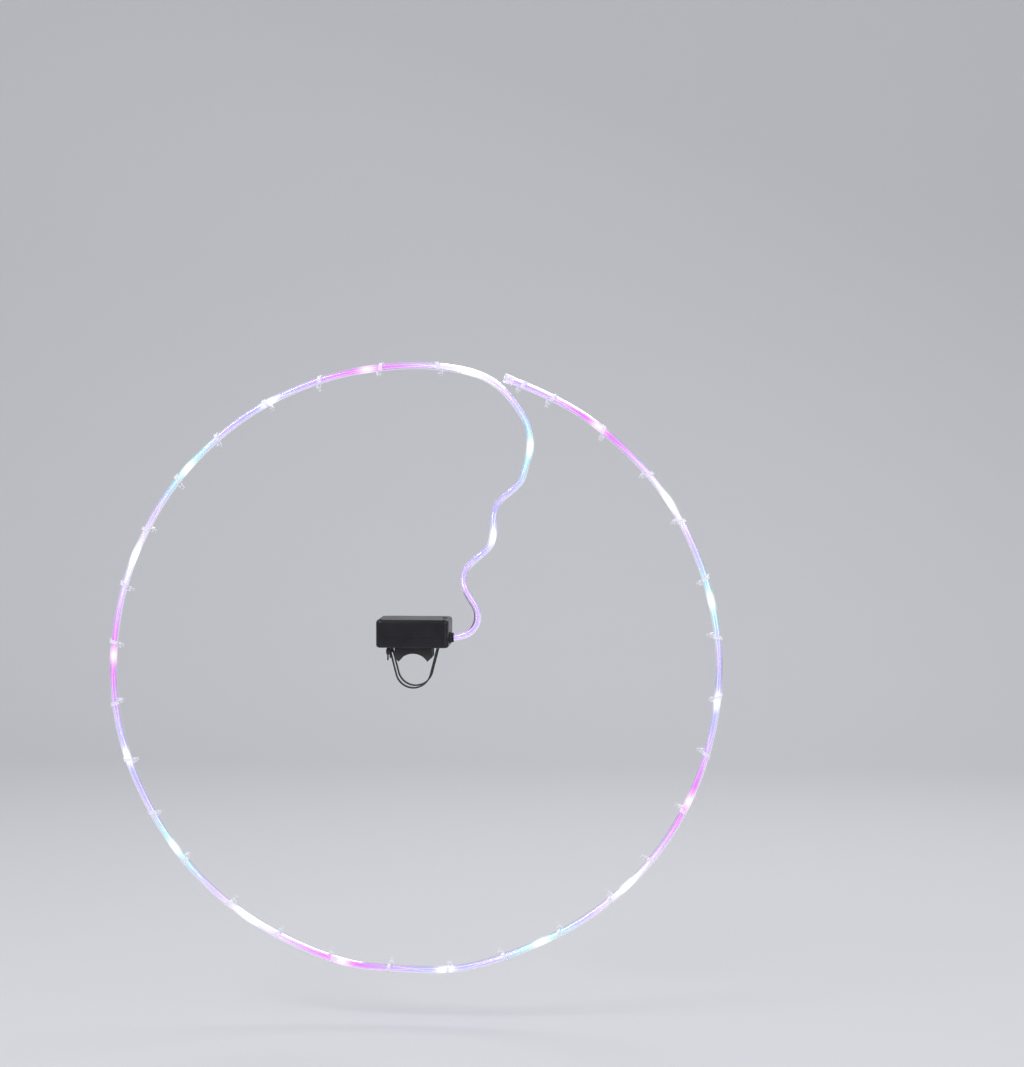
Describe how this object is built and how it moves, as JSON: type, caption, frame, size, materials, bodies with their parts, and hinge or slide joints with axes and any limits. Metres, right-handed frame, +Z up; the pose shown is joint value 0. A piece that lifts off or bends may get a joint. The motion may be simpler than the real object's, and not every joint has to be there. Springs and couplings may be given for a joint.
{
  "type": "spoke wheel light",
  "caption": "Ring of clear tube with coloured LED beads, tied to a bicycle wheel's spokes, with a lead down to a black battery case strapped on the hub.",
  "frame": {"origin": "on the hub's axis, in the plane of the spokes at the rim", "axes": "+Y along the axle away from the viewer, +Z up through the battery case, +X to the right"},
  "size_m": [0.5843, 0.0632, 0.5835],
  "materials": {
    "clear_tube": "gloss",
    "copper_wire": "satin",
    "led_pink": "gloss",
    "led_white": "gloss",
    "led_green": "gloss",
    "led_blue": "gloss",
    "led_chip": "matte",
    "clear_cap": "gloss",
    "tie_nylon": "satin",
    "case_plastic": "satin",
    "screw_steel": "satin",
    "cell_wrap": "gloss",
    "contact_nickel": "satin",
    "board_green": "satin",
    "component_black": "matte",
    "switch_black": "matte",
    "plunger_white": "matte",
    "button_rubber": "matte",
    "gland_rubber": "matte",
    "lead_wire": "satin",
    "pad_rubber": "matte",
    "hub_tie_nylon": "satin"
  },
  "bodies": {
    "string_and_case": {"light_tube": "clear_tube", "wire_positive": "copper_wire", "wire_negative": "copper_wire", "leds_pink": "led_pink", "leds_white": "led_white", "leds_green": "led_green", "leds_blue": "led_blue", "led_chips": "led_chip", "end_plug": "clear_cap", "spoke_ties_left": "tie_nylon", "spoke_ties_right": "tie_nylon", "case_base": "case_plastic", "terminal_negative": "contact_nickel", "bridge_left": "contact_nickel", "bridge_right": "contact_nickel", "terminal_positive": "contact_nickel", "circuit_board": "board_green", "board_parts": "component_black", "switch_body": "switch_black", "cable_gland": "gland_rubber", "lead_wires": "lead_wire", "hub_pad": "pad_rubber", "hub_tie_near": "hub_tie_nylon", "hub_tie_far": "hub_tie_nylon", "lid_gasket": "gland_rubber"},
    "lid": {"case_lid": "case_plastic", "lid_screws": "screw_steel"},
    "button": {"push_button": "button_rubber"},
    "plunger": {"switch_plunger": "plunger_white"},
    "cell_1": {"battery_1": "cell_wrap"},
    "cell_2": {"battery_2": "cell_wrap"},
    "cell_3": {"battery_3": "cell_wrap"}
  },
  "joints": [
    {"name": "lid_lift", "type": "slide", "parent": "string_and_case", "child": "lid", "axis": [0, 0, 1], "range_m": [0, 0.045]},
    {"name": "button_press", "type": "slide", "parent": "lid", "child": "button", "axis": [0, 0, -1], "range_m": [0, 0.0005], "stiffness_N_per_m": 450, "springref_m": -0.0005},
    {"name": "switch_press", "type": "slide", "parent": "string_and_case", "child": "plunger", "axis": [0, 0, -1], "range_m": [0, 0.0005]},
    {"name": "battery_1_lift", "type": "slide", "parent": "string_and_case", "child": "cell_1", "axis": [0, 0, 1], "range_m": [0, 0.0225]},
    {"name": "battery_2_lift", "type": "slide", "parent": "string_and_case", "child": "cell_2", "axis": [0, 0, 1], "range_m": [0, 0.0225]},
    {"name": "battery_3_lift", "type": "slide", "parent": "string_and_case", "child": "cell_3", "axis": [0, 0, 1], "range_m": [0, 0.0225]}
  ],
  "couplings": [
    {"joint": "switch_press", "follows": "button_press", "ratio": 1},
    {"joint": "battery_1_lift", "follows": "lid_lift", "ratio": 0.5},
    {"joint": "battery_2_lift", "follows": "lid_lift", "ratio": 0.5},
    {"joint": "battery_3_lift", "follows": "lid_lift", "ratio": 0.5}
  ]
}
